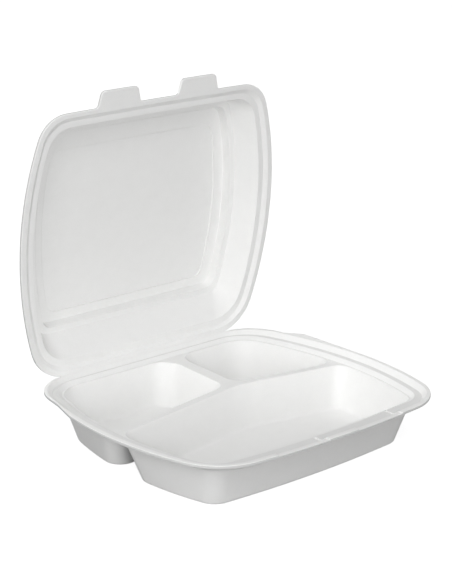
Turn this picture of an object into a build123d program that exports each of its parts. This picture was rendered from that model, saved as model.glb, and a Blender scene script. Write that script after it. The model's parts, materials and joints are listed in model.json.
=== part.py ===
from build123d import *
from math import atan2, cos, radians, sin, tan
import os

# Hinged foam meal box, +Z up, X along the hinge, millimetres. The tray stands on Z = 0.
# Both halves are drawn with the hinge crease at Y = 0 and the tray towards -Y, then moved
# so that the shared origin lies on the table under the tray's widest line.

# Sheet, moulding and hinge
sheet = 2.3
draft = 17.0
hinge_gap = 0.3
hinge_trim = 1.5
open_angle = 84.0

# Levels of the tray's rim, its lip above the table and the drops inside it
lip_height = 37.8
slope_drop = 3.2
riser_drop = 2.3

# Tray rim in plan, from its edge inwards
tray_half = 120.0
tray_front = 209.4
tray_apex = 105.0
tray_bow = 272.0
tray_front_bow = 800.0
tray_corner = 43.0
tray_back_corner = 40.0
deck_corner = 13.0
deck_back_corner = 24.5
tray_lip = 3.7
hinge_lip = 0.6
rim_slope = 4.1
back_slope = 2.0
side_ledge = 4.3
front_ledge = 7.3
back_ledge = 1.4
riser_run = 3.5
back_riser = 3.0

# Each side lip widens to an ear and steps in to a narrower lobe before the hinge
right_ear_start = 43.5
right_ear_end = 32.5
right_ear_lip = 10.0
left_ear_start = 64.0
left_ear_end = 42.0
left_ear_lip = 3.4
ear_round = 8.0
lobe_hinge_half = 102.5
lobe_flare = 7.8
lobe_corner = 36.0

# Compartments
deck_margin = 1.5
divider_x = 16.0
divider_lean = 0.066
lean_pivot = 48.0
centre_divider = 9.5
cross_divider = 5.8
cross_apex = 83.7
left_fall = 0.165
right_fall = 0.197
side_corner = 10.0
hinge_corner = 16.0
meeting_corner = 12.0
apex_round = 60.0
floor_fillet = 3.2
foot_round = 2.5
edge_round = 0.8

# Latch recesses in the front lip
latch_inner = 13.0
latch_outer = 56.5
latch_depth = 0.9

# Lid rim in plan, from its edge inwards
lid_half = 114.3
lid_front = 194.9
lid_apex = 102.5
lid_bow = 234.0
lid_back_bow = 262.0
lid_front_bow = 6000.0
lid_corner = 24.0
lid_back_corner = 34.0
lid_ledge_corner = 20.0
lid_ledge_back_corner = 26.0
lid_side_lip = 4.3
lid_end_lip = 3.3
lid_slope = 3.2
lid_back_slope = 1.9
lid_ledge = 4.4
lid_back_ledge = 5.3
lid_ledge_depth = 2.3

# Lid dome: its walls, a step, a riser and the panel's border
lid_wall_run = 8.7
lid_front_wall_run = 5.1
lid_back_wall_run = 14.8
lid_step_depth = 19.7
lid_step = 4.8
lid_back_step = 4.2
lid_riser_run = 0.8
lid_front_riser_run = 2.7
lid_back_riser_run = 1.3
lid_panel_depth = 26.7
panel_border = 9.3
panel_front_border = 12.0
panel_back_border = 6.9
dome_corner = 9.0
panel_recess = 0.8

# Lid tabs
tab_root_inner = 16.6
tab_root_outer = 53.6
tab_tip_inner = 19.6
tab_tip_outer = 50.6
tab_length = 11.4
tab_round = 3.5
tab_root_round = 2.8

lobe_half = lobe_hinge_half + lobe_flare
ledge_height = lip_height - slope_drop
deck_height = ledge_height - riser_drop
hinge_height = lip_height + hinge_gap
wall_in_plan = sheet / cos(radians(draft))
half_gap = hinge_gap / 2
hinge_y = tray_apex
lip_round = sheet * 0.25


def bowed_outline(height, half, front, back, apex, bows, corners):
    """Rounded outline with bowed sides and front; bows are before, behind the apex and front."""
    front_x = half - (front - apex) ** 2 / (2 * bows[0])
    back_x = half - (apex - back) ** 2 / (2 * bows[1])
    front_y = front_x**2 / (2 * bows[2]) - front
    with BuildSketch(Plane.XY.offset(height)) as outline:
        with BuildLine():
            for side in (1, -1):
                TangentArc((side * half, -apex), (side * front_x, front_y), tangent=(0, -1))
                TangentArc((side * half, -apex), (side * back_x, -back), tangent=(0, 1))
            ThreePointArc((front_x, front_y), (0, -front), (-front_x, front_y))
            Line((back_x, -back), (-back_x, -back))
        make_face()
        fillet(outline.vertices().group_by(Axis.Y)[0], corners[0])
        fillet(outline.vertices().group_by(Axis.Y)[-1], corners[1])
    return outline.sketch


def tightened(inset, stops):
    """Corner radius at an inset, changing evenly between stops and steady past the last."""
    for (start, near), (end, far) in zip(stops, stops[1:]):
        if inset <= end:
            return near + (far - near) * (inset - start) / (end - start)
    return stops[-1][1]


def tray_loop(height, line):
    """One bend of the tray's rim; its line is the inset at the side, front and back."""
    corners = (
        tightened(line[0], [(0, tray_corner), (deck_line[0], deck_corner)]),
        tightened(line[0], [(0, tray_back_corner), (deck_line[0], deck_back_corner)]),
    )
    return bowed_outline(
        height, tray_half - line[0], tray_front - line[1], line[2], tray_apex,
        (tray_bow, tray_bow, tray_front_bow), corners,
    )


def lid_loop(depth, line):
    """One bend of the lid, its corners tightening towards the dome's."""
    ledge, foot = lid_ledge_line[0], lid_foot_line[0]
    corners = (
        tightened(line[0], [(0, lid_corner), (ledge, lid_ledge_corner), (foot, dome_corner)]),
        tightened(line[0], [(0, lid_back_corner), (ledge, lid_ledge_back_corner), (foot, dome_corner)]),
    )
    return bowed_outline(
        depth, lid_half - line[0], lid_front - line[1], line[2], lid_apex,
        (lid_bow, lid_back_bow, lid_front_bow), corners,
    )


def inwards(line, side, front, back):
    """The next bend in from a line."""
    return (line[0] + side, line[1] + front, line[2] + back)


def sloping_walls(loop, bends, shift=0.0):
    """Walls between pairs of bends; shift carries them one sheet out and along Z."""
    with BuildPart() as walls:
        for (outer, outer_z), (inner, inner_z) in zip(bends[::2], bends[1::2]):
            drop = abs(inner_z - outer_z)
            out = [-abs(shift) * tan(atan2(drop, b - a) / 2) for a, b in zip(outer, inner)]
            loft(
                sections=[
                    loop(outer_z + shift, inwards(outer, *out)),
                    loop(inner_z + shift, inwards(inner, *out)),
                ],
                ruled=True,
            )
    return walls.part


# Bends of the tray's rim
lip_line = (tray_lip, tray_lip, hinge_lip)
slope_line = inwards(lip_line, rim_slope, rim_slope, back_slope)
ledge_line = inwards(slope_line, side_ledge, front_ledge, back_ledge)
deck_line = inwards(ledge_line, riser_run, riser_run, back_riser)
tray_bends = [
    (lip_line, lip_height),
    (slope_line, ledge_height),
    (ledge_line, ledge_height),
    (deck_line, deck_height),
]

# Compartments' edges at the deck, just inside the riser's foot
pocket_half = tray_half - deck_line[0] - deck_margin
pocket_front = tray_front - deck_line[1] - deck_margin
pocket_back = deck_line[2] + deck_margin
pocket_corner = deck_corner - deck_margin
pocket_back_corner = deck_back_corner - deck_margin


def side_x(half, y):
    """Where a side of the tray lies at a place along Y."""
    return half - (y + tray_apex) ** 2 / (2 * tray_bow)


def cross_y(x):
    """Front edge of the divider that crosses the tray, falling away from its apex."""
    fall = left_fall if x < divider_x else right_fall
    return -cross_apex - fall * abs(x - divider_x)


def divider_edge(y, side):
    """Edge of the leaning divider between the two compartments beside the hinge."""
    return divider_x + divider_lean * (y + lean_pivot) + side * centre_divider / 2


def wall_inset(height, outside):
    """How far a drafted wall has come in at a height; outside reaches its other face."""
    return (deck_height - height) * tan(radians(draft)) - outside


def rounded_outline(height, points, middles, radii):
    """Closed outline through corners, bowed where a middle point is given."""
    with BuildSketch(Plane.XY.offset(height)) as outline:
        with BuildLine():
            for start, middle, end in zip(points, middles, points[1:] + points[:1]):
                if middle:
                    ThreePointArc(start, middle, end)
                else:
                    Line(start, end)
        make_face()
        for point, radius in zip(points, radii):
            fillet(outline.vertices().sort_by_distance((*point, height))[0], radius)
    return outline.sketch


def large_outline(height, outside):
    """Walls of the compartment along the front, its back edge a shallow V."""
    inset = wall_inset(height, outside)
    half = pocket_half - inset
    front = pocket_front - inset
    front_x = side_x(half, -front)
    front_y = front_x**2 / (2 * tray_front_bow) - front
    right_x = side_x(half, cross_y(half))
    left_x = -side_x(half, cross_y(-half))
    middle_y = (front_y - cross_apex) / 2
    middle_x = side_x(half, middle_y)
    points = [
        (divider_x, -cross_apex - inset),
        (left_x, cross_y(left_x) - inset),
        (-front_x, front_y),
        (front_x, front_y),
        (right_x, cross_y(right_x) - inset),
    ]
    middles = [None, (-middle_x, middle_y), (0, -front), (middle_x, middle_y), None]
    radii = [apex_round, side_corner, pocket_corner, pocket_corner, side_corner]
    return rounded_outline(height, points, middles, [radius + outside for radius in radii])


def small_outline(side, height, outside):
    """Walls of a compartment beside the hinge; side is 1 on the right and -1 on the left."""
    inset = wall_inset(height, outside)
    half = pocket_half - inset
    back_y = -pocket_back - inset
    outer_x = side * side_x(half, cross_y(side * half) + cross_divider + inset)
    front_y = cross_y(outer_x) + cross_divider + inset
    middle_y = (front_y + back_y) / 2
    inner_x = divider_edge(cross_divider - cross_apex, side) + side * inset
    points = [
        (divider_edge(back_y, side) + side * inset, back_y),
        (side * side_x(half, back_y), back_y),
        (outer_x, front_y),
        (inner_x, cross_y(inner_x) + cross_divider + inset),
    ]
    middles = [None, (side * side_x(half, middle_y), middle_y), None, None]
    radii = [hinge_corner, pocket_back_corner, side_corner, meeting_corner]
    return rounded_outline(height, points, middles, [radius + outside for radius in radii])


def right_outline(height, outside):
    """Walls of the compartment on the right beside the hinge."""
    return small_outline(1, height, outside)


def left_outline(height, outside):
    """Walls of the compartment on the left beside the hinge."""
    return small_outline(-1, height, outside)


def compartment(outline, floor, outside, bottom_round):
    """Drafted walls of one compartment, from the deck down to a rounded floor."""
    with BuildPart() as solid:
        loft(sections=[outline(deck_height, outside), outline(floor, outside)], ruled=True)
        fillet(solid.edges().group_by(Axis.Z)[0], bottom_round)
    return solid.part


outlines = (large_outline, right_outline, left_outline)

# Both rims run past the hinge, so that they round evenly, and are cut back to it
hinge_cut = Plane((0, -half_gap, 0), z_dir=(0, 1, 0))

# Plan of the lip: bowed front and sides, an ear and a lobe on each side
front_x = side_x(tray_half, -tray_front)
front_y = front_x**2 / (2 * tray_front_bow) - tray_front
lip_corners = []
with BuildSketch() as lip_plan:
    with BuildLine():
        ThreePointArc((front_x, front_y), (0, -tray_front), (-front_x, front_y))
        Line((lobe_hinge_half, hinge_trim), (-lobe_hinge_half, hinge_trim))
        for side, ear_start, ear_end, ear_lip in (
            (1, right_ear_start, right_ear_end, right_ear_lip),
            (-1, left_ear_start, left_ear_end, left_ear_lip),
        ):
            ear_x = side_x(tray_half - tray_lip, -ear_start) + ear_lip
            TangentArc((side * tray_half, -tray_apex), (side * front_x, front_y), tangent=(0, -1))
            TangentArc((side * tray_half, -tray_apex), (side * ear_x, -ear_start), tangent=(0, 1))
            Polyline(
                (side * ear_x, -ear_start), (side * lobe_half, -ear_end),
                (side * lobe_hinge_half, hinge_trim),
            )
            lip_corners += [
                ((side * front_x, front_y), tray_corner),
                ((side * ear_x, -ear_start), ear_round),
                ((side * lobe_half, -ear_end), ear_round),
                ((side * lobe_hinge_half, hinge_trim), lobe_corner),
            ]
    make_face()
    for corner, radius in lip_corners:
        fillet(lip_plan.vertices().sort_by_distance((*corner, 0))[0], radius)

with BuildPart() as lip_plate:
    with BuildSketch(Plane.XY.offset(lip_height - sheet)):
        add(lip_plan.sketch)
    extrude(amount=sheet)
    fillet(lip_plate.edges().group_by(Axis.Z)[0], lip_round)
    fillet(lip_plate.edges().group_by(Axis.Z)[-1], lip_round)

# Latch recess: everything over the rim, kept only across the two recesses
with BuildPart() as latch:
    add(sloping_walls(tray_loop, tray_bends[:2]))
    with BuildSketch(Plane.XY.offset(lip_height)):
        with Locations((0, -tray_front)):
            Rectangle(3 * latch_outer, 2 * deck_line[1])
    extrude(amount=2 * latch_depth)
    with BuildSketch():
        for side in (1, -1):
            with Locations((side * (latch_inner + latch_outer) / 2, -tray_front)):
                Rectangle(latch_outer - latch_inner, 2 * deck_line[1])
    extrude(amount=2 * lip_height, mode=Mode.INTERSECT)

# Tray
with BuildPart() as tray_shell:
    add(sloping_walls(tray_loop, tray_bends, -sheet))
    with BuildSketch():
        add(lip_plan.sketch)
    extrude(amount=lip_height, mode=Mode.INTERSECT)
    add(lip_plate.part)
    for outline in outlines:
        add(compartment(outline, 0, wall_in_plan, foot_round))
    add(sloping_walls(tray_loop, tray_bends), mode=Mode.SUBTRACT)
    for outline in outlines:
        add(compartment(outline, sheet, 0, floor_fillet), mode=Mode.SUBTRACT)
    deck = tray_shell.faces().filter_by(Axis.Z).filter_by_position(Axis.Z, deck_height, deck_height)
    rims = [edge for wire in deck.sort_by(SortBy.AREA)[-1].inner_wires() for edge in wire.edges()]
    fillet(rims, edge_round)
    with Locations((0, 0, -latch_depth)):
        add(latch.part, mode=Mode.SUBTRACT)
    split(bisect_by=hinge_cut, keep=Keep.BOTTOM)
with BuildPart(Plane((0, hinge_y, 0))) as base_tray:
    add(tray_shell.part)
base_tray.part.label = "base_tray"

# Bends of the lid, from its edge to the panel
lid_lip_line = (lid_side_lip, lid_end_lip, lid_end_lip)
lid_slope_line = inwards(lid_lip_line, lid_slope, lid_slope, lid_back_slope)
lid_ledge_line = inwards(lid_slope_line, lid_ledge, lid_ledge, lid_back_ledge)
lid_foot_line = inwards(lid_ledge_line, lid_wall_run, lid_front_wall_run, lid_back_wall_run)
lid_step_line = inwards(lid_foot_line, lid_step, lid_step, lid_back_step)
lid_riser_line = inwards(lid_step_line, lid_riser_run, lid_front_riser_run, lid_back_riser_run)
panel_line = inwards(lid_riser_line, panel_border, panel_front_border, panel_back_border)
lid_bends = [
    (lid_lip_line, 0),
    (lid_slope_line, lid_ledge_depth),
    (lid_ledge_line, lid_ledge_depth),
    (lid_foot_line, lid_step_depth),
    (lid_step_line, lid_step_depth),
    (lid_riser_line, lid_panel_depth),
]

# Lid's flat rim with its two tabs
with BuildPart() as lid_rim:
    with BuildSketch() as rim_plan:
        add(lid_loop(0, (0, 0, -hinge_trim)))
        with BuildSketch(mode=Mode.ADD):
            with BuildLine():
                Polyline(
                    (tab_tip_inner, -lid_front - tab_length),
                    (tab_tip_outer, -lid_front - tab_length),
                    (2 * tab_root_outer - tab_tip_outer, -lid_front + tab_length),
                    (2 * tab_root_inner - tab_tip_inner, -lid_front + tab_length), close=True,
                )
            make_face()
            mirror(about=Plane.YZ)
        fillet(rim_plan.vertices().group_by(Axis.Y)[0], tab_round)
        for root_x in (tab_root_inner, tab_root_outer, -tab_root_inner, -tab_root_outer):
            root = rim_plan.vertices().sort_by_distance((root_x, -lid_front, 0))[0]
            fillet(root, tab_root_round)
    extrude(amount=sheet)
    fillet(lid_rim.edges().group_by(Axis.Z)[0], lip_round)
    fillet(lid_rim.edges().group_by(Axis.Z)[-1], lip_round)

# Lid, pressed up from its rim, then stood open at the hinge
with BuildPart() as lid_shell:
    add(lid_rim.part)
    add(sloping_walls(lid_loop, lid_bends, sheet))
    with BuildSketch(Plane.XY.offset(lid_panel_depth + sheet)):
        add(lid_loop(0, panel_line))
    extrude(amount=panel_recess)
    add(sloping_walls(lid_loop, lid_bends), mode=Mode.SUBTRACT)
    with BuildSketch(Plane.XY.offset(lid_panel_depth)):
        add(lid_loop(0, panel_line))
    extrude(amount=panel_recess, mode=Mode.SUBTRACT)
    split(bisect_by=hinge_cut, keep=Keep.BOTTOM)

outwards = (0, sin(radians(open_angle)), cos(radians(open_angle)))
with BuildPart(Plane((0, hinge_y, hinge_height), x_dir=(1, 0, 0), z_dir=outwards)) as lid:
    add(lid_shell.part)
lid.part.label = "lid"

os.makedirs("parts", exist_ok=True)
export_step(base_tray.part, "parts/base_tray.step")
export_step(lid.part, "parts/lid.step")
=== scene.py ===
"""Looks for a hinged foam meal box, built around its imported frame."""

import json
from math import cos, radians, sin

import bmesh
import bpy
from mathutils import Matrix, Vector


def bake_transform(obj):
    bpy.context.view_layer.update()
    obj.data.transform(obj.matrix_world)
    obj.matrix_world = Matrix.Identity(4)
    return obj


bl_info = {
    "name": "Foam Meal Box",
    "version": (1, 0, 0),
    "blender": (4, 5, 0),
    "location": "View3D > Sidebar > Meal Box",
    "description": "Finishes the moulded foam meal box and sets its stage",
    "category": "Object",
}

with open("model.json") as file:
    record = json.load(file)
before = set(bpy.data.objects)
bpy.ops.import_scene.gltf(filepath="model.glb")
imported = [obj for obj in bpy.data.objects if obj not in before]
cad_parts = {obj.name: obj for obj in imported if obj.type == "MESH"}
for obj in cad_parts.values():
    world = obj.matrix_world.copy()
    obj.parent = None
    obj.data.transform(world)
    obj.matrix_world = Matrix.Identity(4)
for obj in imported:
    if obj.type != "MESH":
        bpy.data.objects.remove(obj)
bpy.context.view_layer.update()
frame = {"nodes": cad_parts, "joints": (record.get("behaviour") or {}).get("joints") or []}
HINGE = frame["joints"][0]
MM = 0.001

# Where the lamps point, and half the floor's width
LAMP_TARGET = (0, 30 * MM, 80 * MM)
FLOOR_HALF = 6.0

# Rims: the way up from each one's plane, its middle, and the heights over the hinge of its
# trimmed edge and of its ledge, the bands that get painted shade. The lid stands open by the joint's upper
# limit.
OPEN = radians(HINGE["range_deg"][1])
LID_REACH = 97 * MM
HINGE_Y, HINGE_Z = HINGE["pos_m"][1:]
TRAY_RIM = {
    "up": (0, 0, 1),
    "centre": (0, 0, HINGE_Z),
    "cut": (-2.8 * MM, -0.1 * MM),
    "ledge": (-4.6 * MM, -3.3 * MM),
}
LID_RIM = {
    "up": (0, sin(OPEN), cos(OPEN)),
    "centre": (0, HINGE_Y - LID_REACH * cos(OPEN), HINGE_Z + LID_REACH * sin(OPEN)),
    "cut": (-0.2 * MM, 2.5 * MM),
}

# Hinge crease: its cuts along the hinge, and its profile from the tray up to the lid as offsets
# from the axis
CREASE_CUTS = 23
CREASE_PROFILE = [(-0.2 * MM, -0.9 * MM), (-0.1 * MM, 0.0), (0.3 * MM, 0.9 * MM)]


def linear(hex_colour):
    """Turns an sRGB hex value into linear RGBA."""
    channels = [int(hex_colour[i:i + 2], 16) / 255 for i in (1, 3, 5)]
    return [c / 12.92 if c <= 0.04045 else ((c + 0.055) / 1.055) ** 2.4 for c in channels] + [1.0]


def add_node(tree, kind, links=None, **settings):
    """Adds a node; settings are its properties, links its inputs' values or sockets."""
    node = tree.nodes.new(kind)
    for key, value in settings.items():
        setattr(node, key, value)
    for key, value in (links or {}).items():
        if isinstance(value, bpy.types.NodeSocket):
            tree.links.new(value, node.inputs[key])
        else:
            node.inputs[key].default_value = value
    return node


def new_material(name):
    """An empty node material and its output node."""
    material = bpy.data.materials.new(name)
    material.use_nodes = True
    material.node_tree.nodes.clear()
    output = material.node_tree.nodes.new("ShaderNodeOutputMaterial")
    return material, material.node_tree, output


class FoamSettings(bpy.types.PropertyGroup):
    """Finish of the foamed polystyrene sheet, with painted shade on its trimmed edge and ledge.

    Real cells are about 0.3 mm wide. They are drawn three times as wide, so that they show.
    """

    colour: bpy.props.FloatVectorProperty(
        name="Sheet Colour", description="Colour of the moulded foam's skin",
        subtype="COLOR", size=4, min=0, max=1, default=linear("#FAFAF9"),
    )
    cell_size: bpy.props.FloatProperty(
        name="Cell Size", description="Width of the foam's cells, as they show through the skin",
        subtype="DISTANCE", unit="LENGTH", default=0.9 * MM,
    )
    ripple_size: bpy.props.FloatProperty(
        name="Ripple Size", description="Spacing of the skin's soft waves",
        subtype="DISTANCE", unit="LENGTH", default=9 * MM,
    )
    edge_radius: bpy.props.FloatProperty(
        name="Crease Radius", description="Radius that the mould leaves on creases",
        subtype="DISTANCE", unit="LENGTH", default=0.5 * MM,
    )
    # Painted shade: darkens the trimmed edge round each rim, standing in for the shade on the rim's outer
    # edge
    cut_shade_tone: bpy.props.FloatProperty(
        name="Cut Tone", description="Share of the skin's tone left on the trimmed edge",
        min=0, max=1, default=0.76,
    )
    # Painted shade: darkens the ledge inside the tray's rim, standing in for the shade from the raised lip
    # beside it
    ledge_shade_tone: bpy.props.FloatProperty(
        name="Ledge Tone", description="Share of the skin's tone left on the tray's pressed ledge",
        min=0, max=1, default=0.91,
    )
    hinge_length: bpy.props.FloatProperty(
        name="Hinge Length", description="Length of the thinned crease along the hinge",
        subtype="DISTANCE", unit="LENGTH", default=156 * MM,
    )
    hinge_thickness: bpy.props.FloatProperty(
        name="Hinge Thickness", description="Thickness of the crushed foam in the crease",
        subtype="DISTANCE", unit="LENGTH", default=0.5 * MM,
    )


class StageSettings(bpy.types.PropertyGroup):
    """Floor, lamps and camera."""

    azimuth: bpy.props.FloatProperty(
        name="Azimuth", description="Camera's turn about the box; 0 looks along +Y",
        subtype="ANGLE", default=radians(-40.91),
    )
    elevation: bpy.props.FloatProperty(
        name="Elevation", description="Camera's height above the level",
        subtype="ANGLE", default=radians(17.5),
    )
    distance: bpy.props.FloatProperty(
        name="Distance", description="Camera's distance from its target",
        subtype="DISTANCE", unit="LENGTH", default=1227.8 * MM,
    )
    target: bpy.props.FloatVectorProperty(
        name="Target", description="Point at the middle of the picture",
        subtype="TRANSLATION", size=3, default=(12.44 * MM, 28.82 * MM, 100.79 * MM),
    )
    lens: bpy.props.FloatProperty(
        name="Focal Length", description="Lens on a 36 mm sensor", default=107.79,
    )
    ambient: bpy.props.FloatProperty(
        name="Ambient", description="Strength of the light from all round", default=0.06,
    )
    left: bpy.props.FloatProperty(
        name="Left Lamp", description="Power of the lamp on the box's left",
        subtype="POWER", default=18.3,
    )
    key: bpy.props.FloatProperty(
        name="Key Lamp", description="Power of the high lamp in front on the left",
        subtype="POWER", default=29.4,
    )
    top: bpy.props.FloatProperty(
        name="Top Lamp", description="Power of the lamp overhead",
        subtype="POWER", default=13.4,
    )
    low: bpy.props.FloatProperty(
        name="Low Lamp", description="Power of the low lamp in front",
        subtype="POWER", default=21.2,
    )
    back: bpy.props.FloatProperty(
        name="Back Lamp", description="Power of the lamp behind, which the open lid keeps off the tray",
        subtype="POWER", default=25.0,
    )
    right: bpy.props.FloatProperty(
        name="Right Lamp", description="Power of the faint lamp on the right",
        subtype="POWER", default=6.0,
    )


def level_band(tree, place, rim, heights):
    """1 between two heights over the hinge, measured square to the rim, and 0 elsewhere."""
    low, high = heights
    offset = add_node(
        tree, "ShaderNodeVectorMath", {0: place, 1: HINGE["pos_m"]}, operation="SUBTRACT",
    )
    height = add_node(
        tree, "ShaderNodeVectorMath", {0: offset.outputs["Vector"], 1: rim["up"]}, operation="DOT_PRODUCT",
    )
    return add_node(
        tree, "ShaderNodeMath",
        {0: height.outputs["Value"], 1: (low + high) / 2, 2: (high - low) / 2},
        operation="COMPARE",
    ).outputs[0]


def facing_band(tree, facing, rim, middle, spread):
    """1 where a surface's cosine to the rim's up lies within a spread of a middle, 0 elsewhere."""
    cosine = add_node(
        tree, "ShaderNodeVectorMath", {0: facing, 1: rim["up"]}, operation="DOT_PRODUCT",
    )
    return add_node(
        tree, "ShaderNodeMath", {0: cosine.outputs["Value"], 1: middle, 2: spread}, operation="COMPARE",
    ).outputs[0]


def trimmed_edge(tree, place, facing, rim):
    """1 on the upright cut that runs round a rim's outside, 0 elsewhere."""
    away = add_node(
        tree, "ShaderNodeVectorMath", {0: place, 1: rim["centre"]}, operation="SUBTRACT",
    )
    away = add_node(
        tree, "ShaderNodeVectorMath", {0: away.outputs["Vector"]}, operation="NORMALIZE",
    )
    outwards = add_node(
        tree, "ShaderNodeVectorMath", {0: facing, 1: away.outputs["Vector"]}, operation="DOT_PRODUCT",
    )
    outwards = add_node(
        tree, "ShaderNodeMath", {0: outwards.outputs["Value"], 1: 0.5}, operation="GREATER_THAN",
    )
    upright = add_node(
        tree, "ShaderNodeMath",
        {0: facing_band(tree, facing, rim, 0.0, 0.5), 1: outwards.outputs[0]}, operation="MULTIPLY",
    )
    return add_node(
        tree, "ShaderNodeMath",
        {0: upright.outputs[0], 1: level_band(tree, place, rim, rim["cut"])}, operation="MULTIPLY",
    ).outputs[0]


def foam_material(name, settings, rim):
    """Extruded polystyrene foam sheet, thermoformed.

    The closed skin gives a satin white with a soft sheen. Cells just under it mottle the
    tone and dimple the gloss, and a little light travels through the sheet. The cut round
    the rim opens the cells, which dulls it, and its grey is painted shade for the shade on
    the rim's outer edge. Painted shade also darkens the ledge inside the tray's rim.
    """
    material, tree, output = new_material(name)
    coordinates = add_node(tree, "ShaderNodeTexCoord").outputs
    place, facing = coordinates["Object"], coordinates["Normal"]
    cells = add_node(
        tree, "ShaderNodeTexVoronoi", {"Vector": place, "Scale": 1 / settings.cell_size},
    ).outputs["Distance"]
    ripple = add_node(
        tree, "ShaderNodeTexNoise",
        {"Vector": place, "Scale": 1 / settings.ripple_size, "Detail": 3.0, "Roughness": 0.55},
    ).outputs["Fac"]
    cut = trimmed_edge(tree, place, facing, rim)

    clouds = add_node(
        tree, "ShaderNodeMapRange",
        {"Value": ripple, "From Min": 0.3, "From Max": 0.7, "To Min": 0.985, "To Max": 1.0},
    )
    mottle = add_node(
        tree, "ShaderNodeMapRange",
        {"Value": cells, "From Min": 0.0, "From Max": 0.6, "To Min": 1.0, "To Max": 0.975},
    )
    # Painted shade on the trimmed edge round the rim
    edge_shade = add_node(
        tree, "ShaderNodeMapRange", {"Value": cut, "To Min": 1.0, "To Max": settings.cut_shade_tone},
    )
    tone = add_node(
        tree, "ShaderNodeMath", {0: clouds.outputs["Result"], 1: mottle.outputs["Result"]},
        operation="MULTIPLY",
    )
    tone = add_node(
        tree, "ShaderNodeMath", {0: tone.outputs[0], 1: edge_shade.outputs["Result"]}, operation="MULTIPLY",
    )
    # Painted shade on the ledge inside the tray's rim, where the raised lip shades it
    if "ledge" in rim:
        ledge = add_node(
            tree, "ShaderNodeMath",
            {0: level_band(tree, place, rim, rim["ledge"]), 1: facing_band(tree, facing, rim, 1.0, 0.05)},
            operation="MULTIPLY",
        )
        shaded = add_node(
            tree, "ShaderNodeMapRange",
            {"Value": ledge.outputs[0], "To Min": 1.0, "To Max": settings.ledge_shade_tone},
        )
        tone = add_node(
            tree, "ShaderNodeMath", {0: tone.outputs[0], 1: shaded.outputs["Result"]},
            operation="MULTIPLY",
        )
    colour = add_node(
        tree, "ShaderNodeVectorMath", {0: list(settings.colour)[:3], "Scale": tone.outputs[0]},
        operation="SCALE",
    )
    gloss = add_node(
        tree, "ShaderNodeMapRange",
        {"Value": cells, "From Min": 0.0, "From Max": 0.6, "To Min": 0.42, "To Max": 0.52},
    )
    gloss = add_node(
        tree, "ShaderNodeMath", {0: gloss.outputs["Result"], 1: cut}, operation="ADD", use_clamp=True,
    )
    crease = add_node(tree, "ShaderNodeBevel", {"Radius": settings.edge_radius}, samples=8)
    dimples = add_node(
        tree, "ShaderNodeBump",
        {"Height": cells, "Distance": 0.04 * MM, "Strength": 0.5, "Normal": crease.outputs["Normal"]},
    )
    waves = add_node(
        tree, "ShaderNodeBump",
        {"Height": ripple, "Distance": 0.1 * MM, "Strength": 0.4, "Normal": dimples.outputs["Normal"]},
    )
    shader = add_node(
        tree, "ShaderNodeBsdfPrincipled",
        {"Base Color": colour.outputs["Vector"], "Roughness": gloss.outputs[0],
         "Normal": waves.outputs["Normal"], "IOR": 1.5, "Specular IOR Level": 0.35,
         "Subsurface Weight": 0.15, "Subsurface Radius": (1.0, 1.0, 1.0),
         "Subsurface Scale": 1.5 * MM},
    )
    tree.links.new(shader.outputs["BSDF"], output.inputs["Surface"])
    return material


def dress(obj, material):
    """Puts one material on every slot of an object."""
    if not obj.data.materials:
        obj.data.materials.append(material)
    for slot in obj.material_slots:
        slot.material = material


def object_from(bm, name):
    """Makes a scene object of a bmesh and frees it."""
    mesh = bpy.data.meshes.new(name)
    bm.to_mesh(mesh)
    bm.free()
    obj = bpy.data.objects.new(name, mesh)
    bpy.context.scene.collection.objects.link(obj)
    return obj


class MEALBOX_OT_tray(bpy.types.Operator):
    """Give the tray its moulded foam"""

    bl_idname = "mealbox.tray"
    bl_label = "Finish Tray"

    def execute(self, context):
        foam = context.scene.mealbox_foam
        dress(frame["nodes"]["base_tray"], foam_material("polystyrene_foam_tray", foam, TRAY_RIM))
        return {"FINISHED"}


class MEALBOX_OT_lid(bpy.types.Operator):
    """Give the lid its moulded foam"""

    bl_idname = "mealbox.lid"
    bl_label = "Finish Lid"

    def execute(self, context):
        foam = context.scene.mealbox_foam
        dress(frame["nodes"]["lid"], foam_material("polystyrene_foam_lid", foam, LID_RIM))
        return {"FINISHED"}


class MEALBOX_OT_hinge(bpy.types.Operator):
    """Bridge the tray and the lid with the thinned crease of the living hinge"""

    bl_idname = "mealbox.hinge"
    bl_label = "Add Hinge Crease"

    def execute(self, context):
        foam = context.scene.mealbox_foam
        axis = Vector(HINGE["pos_m"])
        half = foam.hinge_length / 2
        bm = bmesh.new()
        foot = [bm.verts.new((x, *CREASE_PROFILE[0])) for x in (-half, half)]
        bm.edges.new(foot)
        bmesh.ops.subdivide_edges(bm, edges=bm.edges, cuts=CREASE_CUTS)
        top = list(bm.edges)
        for below, above in zip(CREASE_PROFILE, CREASE_PROFILE[1:]):
            lift = bmesh.ops.extrude_edge_only(bm, edges=top)["geom"]
            bmesh.ops.translate(
                bm, verts=[item for item in lift if isinstance(item, bmesh.types.BMVert)],
                vec=(0, above[0] - below[0], above[1] - below[1]),
            )
            top = [item for item in lift if isinstance(item, bmesh.types.BMEdge)]
        bmesh.ops.recalc_face_normals(bm, faces=bm.faces)
        bmesh.ops.translate(bm, verts=bm.verts, vec=axis)
        crease = object_from(bm, "hinge_crease")
        shell = crease.modifiers.new("thickness", "SOLIDIFY")
        shell.thickness = foam.hinge_thickness
        shell.offset = 0.0
        dress(crease, foam_material("polystyrene_foam_crease", foam, TRAY_RIM))
        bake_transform(crease)
        return {"FINISHED"}


def lamp(name, place, size, power):
    """A large square area lamp aimed at the box."""
    light = bpy.data.lights.new(name, "AREA")
    light.shape = "SQUARE"
    light.size = size
    light.energy = power
    obj = bpy.data.objects.new(name, light)
    bpy.context.scene.collection.objects.link(obj)
    aim = Vector(LAMP_TARGET) - Vector(place)
    obj.location = place
    obj.rotation_euler = aim.to_track_quat("-Z", "Y").to_euler()


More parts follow.
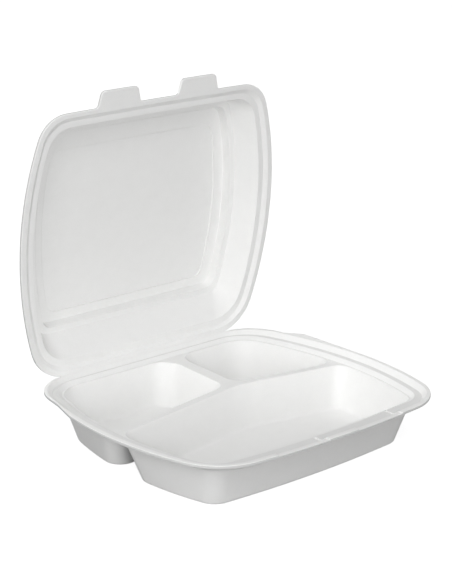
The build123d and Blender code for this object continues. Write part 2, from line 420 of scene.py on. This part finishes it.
def white_when_seen(tree, ambient):
    """Strength that is 1 for camera, glossy and transmitted rays and ambient otherwise."""
    path = add_node(tree, "ShaderNodeLightPath").outputs
    seen = add_node(
        tree, "ShaderNodeMath", {0: path["Is Camera Ray"], 1: path["Is Glossy Ray"]}, operation="MAXIMUM",
    )
    seen = add_node(
        tree, "ShaderNodeMath", {0: seen.outputs[0], 1: path["Is Transmission Ray"]}, operation="MAXIMUM",
    )
    return add_node(
        tree, "ShaderNodeMapRange", {"Value": seen.outputs[0], "To Min": ambient, "To Max": 1.0},
    ).outputs["Result"]


class MEALBOX_OT_stage(bpy.types.Operator):
    """Lay the white floor and set the soft lamps and the camera"""

    bl_idname = "mealbox.stage"
    bl_label = "Set Stage"

    def execute(self, context):
        stage = context.scene.mealbox_stage
        scene = context.scene
        scene.view_settings.view_transform = "Standard"

        world = bpy.data.worlds.new("white_studio")
        scene.world = world
        world.use_nodes = True
        tree = world.node_tree
        tree.nodes.clear()
        sky = add_node(
            tree, "ShaderNodeBackground",
            {"Color": (1, 1, 1, 1), "Strength": white_when_seen(tree, stage.ambient)},
        )
        output = add_node(tree, "ShaderNodeOutputWorld")
        tree.links.new(sky.outputs["Background"], output.inputs["Surface"])

        bm = bmesh.new()
        bmesh.ops.create_grid(bm, x_segments=1, y_segments=1, size=FLOOR_HALF)
        floor = object_from(bm, "floor")
        # Matt paper, which the camera sees as white and which keeps the box's soft shadow
        material, tree, output = new_material("matt_white_paper")
        paper = add_node(tree, "ShaderNodeBsdfDiffuse", {"Color": linear("#A0A0A0")})
        path = add_node(tree, "ShaderNodeLightPath").outputs
        glow = add_node(tree, "ShaderNodeEmission", {"Strength": path["Is Camera Ray"]})
        glow.inputs["Color"].default_value = linear("#F0F0F0")
        both = add_node(tree, "ShaderNodeAddShader", {0: paper.outputs[0], 1: glow.outputs[0]})
        tree.links.new(both.outputs[0], output.inputs["Surface"])
        dress(floor, material)

        lamp("left_lamp", (-2.3, 0.3, 1.0), 1.6, stage.left)
        lamp("key_lamp", (-1.5, -1.7, 1.5), 1.6, stage.key)
        lamp("top_lamp", (0.1, 0.1, 2.5), 1.8, stage.top)
        lamp("low_lamp", (-0.8, -2.3, 0.3), 1.0, stage.low)
        lamp("back_lamp", (0.2, 2.3, 1.5), 1.6, stage.back)
        lamp("right_lamp", (2.2, -0.6, 1.2), 1.6, stage.right)

        turn, lift = stage.azimuth, stage.elevation
        back = Vector((sin(turn) * cos(lift), -cos(turn) * cos(lift), sin(lift)))
        camera = bpy.data.objects.new("camera", bpy.data.cameras.new("camera"))
        scene.collection.objects.link(camera)
        camera.data.lens = stage.lens
        camera.data.sensor_width = 36.0
        camera.location = Vector(stage.target) + stage.distance * back
        camera.rotation_euler = back.to_track_quat("Z", "Y").to_euler()
        scene.camera = camera
        return {"FINISHED"}


class MEALBOX_PT_panel(bpy.types.Panel):
    """Meal box tools"""

    bl_idname = "MEALBOX_PT_panel"
    bl_label = "Meal Box"
    bl_space_type = "VIEW_3D"
    bl_region_type = "UI"
    bl_category = "Meal Box"

    def draw(self, context):
        for group in (context.scene.mealbox_foam, context.scene.mealbox_stage):
            box = self.layout.box()
            for name in group.bl_rna.properties.keys()[1:]:
                box.prop(group, name)
        for operator in (MEALBOX_OT_tray, MEALBOX_OT_lid, MEALBOX_OT_hinge, MEALBOX_OT_stage):
            self.layout.operator(operator.bl_idname)


CLASSES = (
    FoamSettings, StageSettings, MEALBOX_OT_tray, MEALBOX_OT_lid, MEALBOX_OT_hinge,
    MEALBOX_OT_stage, MEALBOX_PT_panel,
)


def register():
    for cls in CLASSES:
        bpy.utils.register_class(cls)
    bpy.types.Scene.mealbox_foam = bpy.props.PointerProperty(type=FoamSettings)
    bpy.types.Scene.mealbox_stage = bpy.props.PointerProperty(type=StageSettings)


def unregister():
    del bpy.types.Scene.mealbox_stage
    del bpy.types.Scene.mealbox_foam
    for cls in reversed(CLASSES):
        bpy.utils.unregister_class(cls)


def main():
    """Registers the tools and builds every piece in order."""
    register()
    bpy.ops.mealbox.tray()
    bpy.ops.mealbox.lid()
    bpy.ops.mealbox.hinge()
    bpy.ops.mealbox.stage()


if __name__ == "__main__":
    main()
